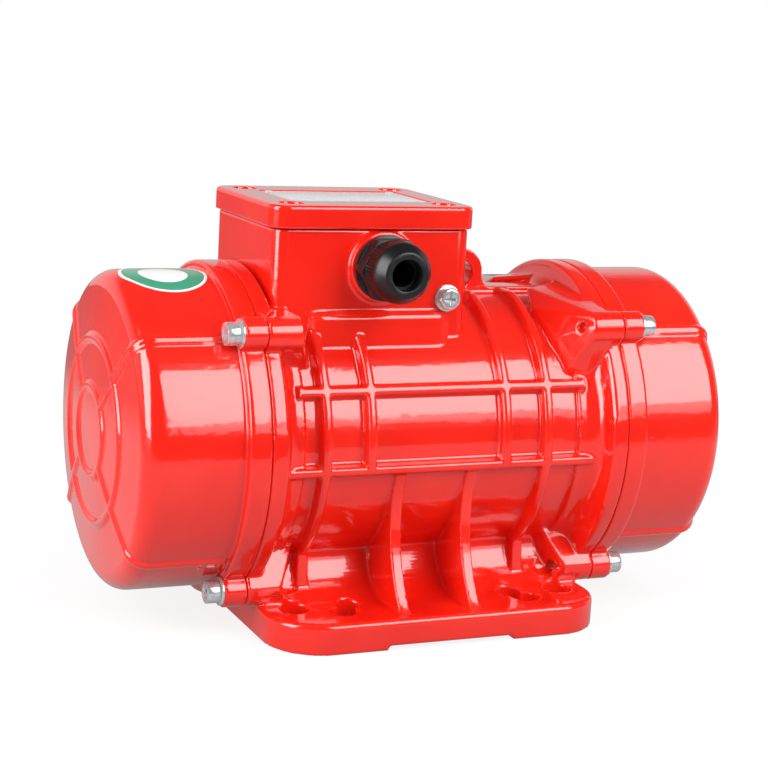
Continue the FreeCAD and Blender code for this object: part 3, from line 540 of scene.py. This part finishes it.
def bead_zone(degrees, half_width, low):
    """Box round one radial bead of the +X cover, in front of the flange."""
    outward_way, side_way = polar_axes(degrees)
    start, stop, high = BEAD_START, COVER_END + 4.0, COVER_RADIUS + 4.0
    middle = Vector(((start + stop) / 2, 0, AXIS_HEIGHT)) + outward_way * ((low + high) / 2)
    return placed_box("bead_zone", middle, (Vector((1, 0, 0)), side_way, outward_way),
                      (stop - start, 2 * half_width, high - low))


def bead_trimmer():
    """Room above the smooth cover where the solid's radial beads stand, at both ends."""
    rim_radius = COVER_RADIUS - COVER_ROUND
    side_end = dome_x(rim_radius) - COVER_ROUND
    sections = [(BEAD_START - 5.0, COVER_RADIUS), (side_end, COVER_RADIUS)]
    for degrees in range(10, 91, 10):
        angle = math.radians(degrees)
        sections.append((side_end + COVER_ROUND * math.sin(angle),
                         rim_radius + COVER_ROUND * math.cos(angle)))
    sections += [(dome_x(radius), radius) for radius in (50, 40, 30, 20, 10, 1)]
    pieces = []
    for degrees in (180 - UPPER_BOLT, 180 - LOWER_BOLT):
        zone = bead_zone(degrees, 3.4, 23.0)
        apply_boolean(zone, "DIFFERENCE", turned_x("cover_form", sections))
        pieces.append(zone)
    trimmer = joined(pieces)
    apply_modifier(trimmer, "MIRROR", use_axis=(True, True, False), use_mirror_merge=False)
    return trimmer


def turn_about_shaft(piece, degrees):
    pivot = Matrix.Translation((0.0, 0.0, AXIS_HEIGHT * MM))
    piece.matrix_world = pivot @ Matrix.Rotation(math.radians(degrees), 4, "X") @ pivot.inverted()
    select_only(piece)
    bpy.ops.object.transform_apply(location=True, rotation=True, scale=True)


def cover_with_beads(end, side):
    """Cover casting with radial beads on the diagonals, from the inner ring over the edge to the flange."""
    name = "cover_" + end
    beads = []
    for solid_degrees, degrees in ((180 - UPPER_BOLT, 180 - UPPER_BEAD),
                                   (180 - LOWER_BOLT, 180 - LOWER_BEAD)):
        for way in (1, -1):
            bead = copy_of_node(name, "bead")
            turn_about_shaft(bead, way * (degrees - solid_degrees))
            zone = bead_zone(degrees, 3.0, 18.0)
            if side < 0 or way < 0:
                apply_modifier(zone, "MIRROR", use_axis=(side < 0, way < 0, False), use_mirror_merge=False)
            apply_boolean(bead, "INTERSECT", zone)
            beads.append(bead)
    cover = copy_of_node(name, "cover_casting_" + end)
    apply_boolean(cover, "DIFFERENCE", bead_trimmer())
    for radius in BEAD_RINGS:
        place = (side * (dome_x(radius) - BEAD_SINK) * MM, 0.0, AXIS_HEIGHT * MM)
        bpy.ops.mesh.primitive_torus_add(major_segments=160, minor_segments=24, major_radius=radius * MM,
                                         minor_radius=BEAD_RADIUS * MM, location=place,
                                         rotation=(0.0, math.radians(90), 0.0))
        ring = bpy.context.object
        bpy.ops.object.transform_apply(location=True, rotation=True, scale=True)
        beads.append(ring)
    return joined([cover] + beads)


def mould(piece, voxel_mm, passes, most_faces):
    """Rounds every edge and corner of a casting as the mould and the enamel do."""
    apply_modifier(piece, "REMESH", mode="VOXEL", voxel_size=voxel_mm * MM)
    apply_modifier(piece, "SMOOTH", factor=0.5, iterations=passes)
    faces = len(piece.data.polygons)
    if faces * 2 > most_faces:
        apply_modifier(piece, "DECIMATE", ratio=most_faces / (faces * 2.0))
    select_only(piece)
    bpy.ops.object.shade_smooth()


def castings(materials):
    """Housing, covers and lid as moulded and enamelled pieces."""
    trimmer = boss_trimmer()
    copies = [copy_of_node(name, "copy_" + name) for name in HOUSING_NODES]
    for piece in copies[:len(FLANGED_NODES)]:
        apply_modifier(piece, "BOOLEAN", operation="DIFFERENCE", object=trimmer, solver="EXACT")
    bpy.data.objects.remove(trimmer)
    housing = joined(copies + [gussets()])
    housing.name = housing.data.name = "housing_casting"
    mould(housing, 0.7, 4, LARGE_CASTING_FACES)
    finish_piece(housing, materials["red_paint"], "red_paint", "frame", *HOUSING_NODES)
    for end, side in (("left", -1), ("right", 1)):
        cover = cover_with_beads(end, side)
        mould(cover, 0.6, 3, LARGE_CASTING_FACES)
        finish_piece(cover, materials["red_paint"], "red_paint", "frame", "cover_" + end)
    lid = copy_of_node("terminal_box_lid", "lid_casting")
    mould(lid, 0.55, 3, LID_FACES)
    finish_piece(lid, materials["red_paint"], "red_paint", "frame", "terminal_box_lid")


# ---------------------------------------------------------------- small parts

def broken_edges(piece, width_mm):
    """Flats merged and sharp edges broken by a small bevel."""
    select_only(piece)
    bpy.ops.object.mode_set(mode="EDIT")
    bpy.ops.mesh.select_all(action="SELECT")
    bpy.ops.mesh.dissolve_limited(angle_limit=math.radians(1.5))
    bpy.ops.object.mode_set(mode="OBJECT")
    apply_modifier(piece, "BEVEL", width=width_mm * MM, segments=2, limit_method="ANGLE",
                   angle_limit=math.radians(38), use_clamp_overlap=True)
    select_only(piece)
    bpy.ops.object.shade_smooth_by_angle(angle=math.radians(32))


def knurl_cap_nut(nut):
    """Grip flutes round the back of the gland's cap nut."""
    low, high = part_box("gland_cap_nut")
    middle = (Vector(low) + Vector(high)) / 2
    outer = (high[0] - low[0]) / 2
    bpy.ops.mesh.primitive_cylinder_add(vertices=8, radius=0.5 * MM, depth=8.0 * MM,
                                        location=(middle.x, high[1] - 4.6 * MM, middle.z + outer),
                                        rotation=(math.radians(90), 0.0, 0.0))
    flutes = bpy.context.object
    bpy.ops.object.transform_apply(location=True, rotation=True, scale=True)
    bpy.ops.object.mode_set(mode="EDIT")
    bpy.ops.mesh.select_all(action="SELECT")
    bpy.ops.mesh.spin(steps=GRIP_FLUTES - 1, dupli=True, angle=math.radians(360 - 360 / GRIP_FLUTES),
                      center=middle, axis=(0.0, 1.0, 0.0))
    bpy.ops.object.mode_set(mode="OBJECT")
    apply_boolean(nut, "DIFFERENCE", flutes)
    select_only(nut)
    bpy.ops.object.shade_smooth_by_angle(angle=math.radians(32))


def small_parts(materials, slot_of):
    """Screws, washers, gland, nameplate and terminals with their edges broken, by bevel width in millimetres."""
    bevels = {"cover_bolts": 0.35, "cover_washers": 0.25, "earth_screw": 0.25, "earth_washer": 0.3,
              "lid_screws": 0.3, "gland_body": 0.5, "gland_cap_nut": 0.25, "gland_washer": 0.2,
              "gland_lock_nut": 0.4, "nameplate": 0.1, "nameplate_rivets": 0.25, "terminal_block": 0.4,
              "terminal_nuts": 0.3, "terminal_studs": 0.3}
    for name, width_mm in bevels.items():
        piece = copy_of_node(name, name + "_detail")
        broken_edges(piece, width_mm)
        if name == "gland_cap_nut":
            knurl_cap_nut(piece)
        slot = slot_of[name]
        finish_piece(piece, materials[slot], slot, "frame", name)


def sticker(materials):
    """Bare ring sticker on top of the left cover, pressed onto its curve."""
    centre = Vector((STICKER_MIDDLE.x, STICKER_MIDDLE.y, 0.165))
    bpy.ops.mesh.primitive_circle_add(vertices=96, radius=STICKER_RADIUS, location=centre)
    piece = bpy.context.object
    piece.name = "ring_sticker"
    bpy.ops.object.transform_apply(location=True, rotation=True, scale=True)
    bpy.ops.object.mode_set(mode="EDIT")
    bpy.ops.mesh.select_all(action="SELECT")
    rings = 12
    for i in range(rings, 1, -1):
        shrink = (i - 1) / i
        bpy.ops.mesh.extrude_region_move(TRANSFORM_OT_translate={"value": (0.0, 0.0, 0.0)})
        bpy.ops.transform.resize(value=(shrink, shrink, 1.0), center_override=centre)
    bpy.ops.mesh.edge_face_add()
    bpy.ops.object.mode_set(mode="OBJECT")
    apply_modifier(piece, "SHRINKWRAP", target=bpy.data.objects["cover_casting_left"], wrap_method="PROJECT",
                   use_project_z=True, use_negative_direction=True, use_positive_direction=False,
                   offset=STICKER_LIFT)
    apply_modifier(piece, "SOLIDIFY", thickness=STICKER_THICKNESS, offset=0.0)
    outward(piece)
    bpy.ops.object.shade_smooth_by_angle(angle=math.radians(32))
    finish_piece(piece, materials["sticker"], "plate_aluminium", "frame")


def dress_nodes(materials, slot_of):
    """Materials of the CAD nodes that show or lie inside."""
    for name, obj in NODES.items():
        obj.data.materials.clear()
        obj.data.materials.append(materials[slot_of[name]])
        select_only(obj)
        bpy.ops.object.shade_smooth_by_angle(angle=math.radians(35))


bpy.context.scene.view_settings.view_transform = "Standard"
add_camera()
add_world()
add_lights()
add_floor()
MATERIALS = make_materials()
SLOT_OF = {part["node"]: part["material_slot"] for part in frame["record"]["subparts"]}
dress_nodes(MATERIALS, SLOT_OF)
castings(MATERIALS)
small_parts(MATERIALS, SLOT_OF)
sticker(MATERIALS)
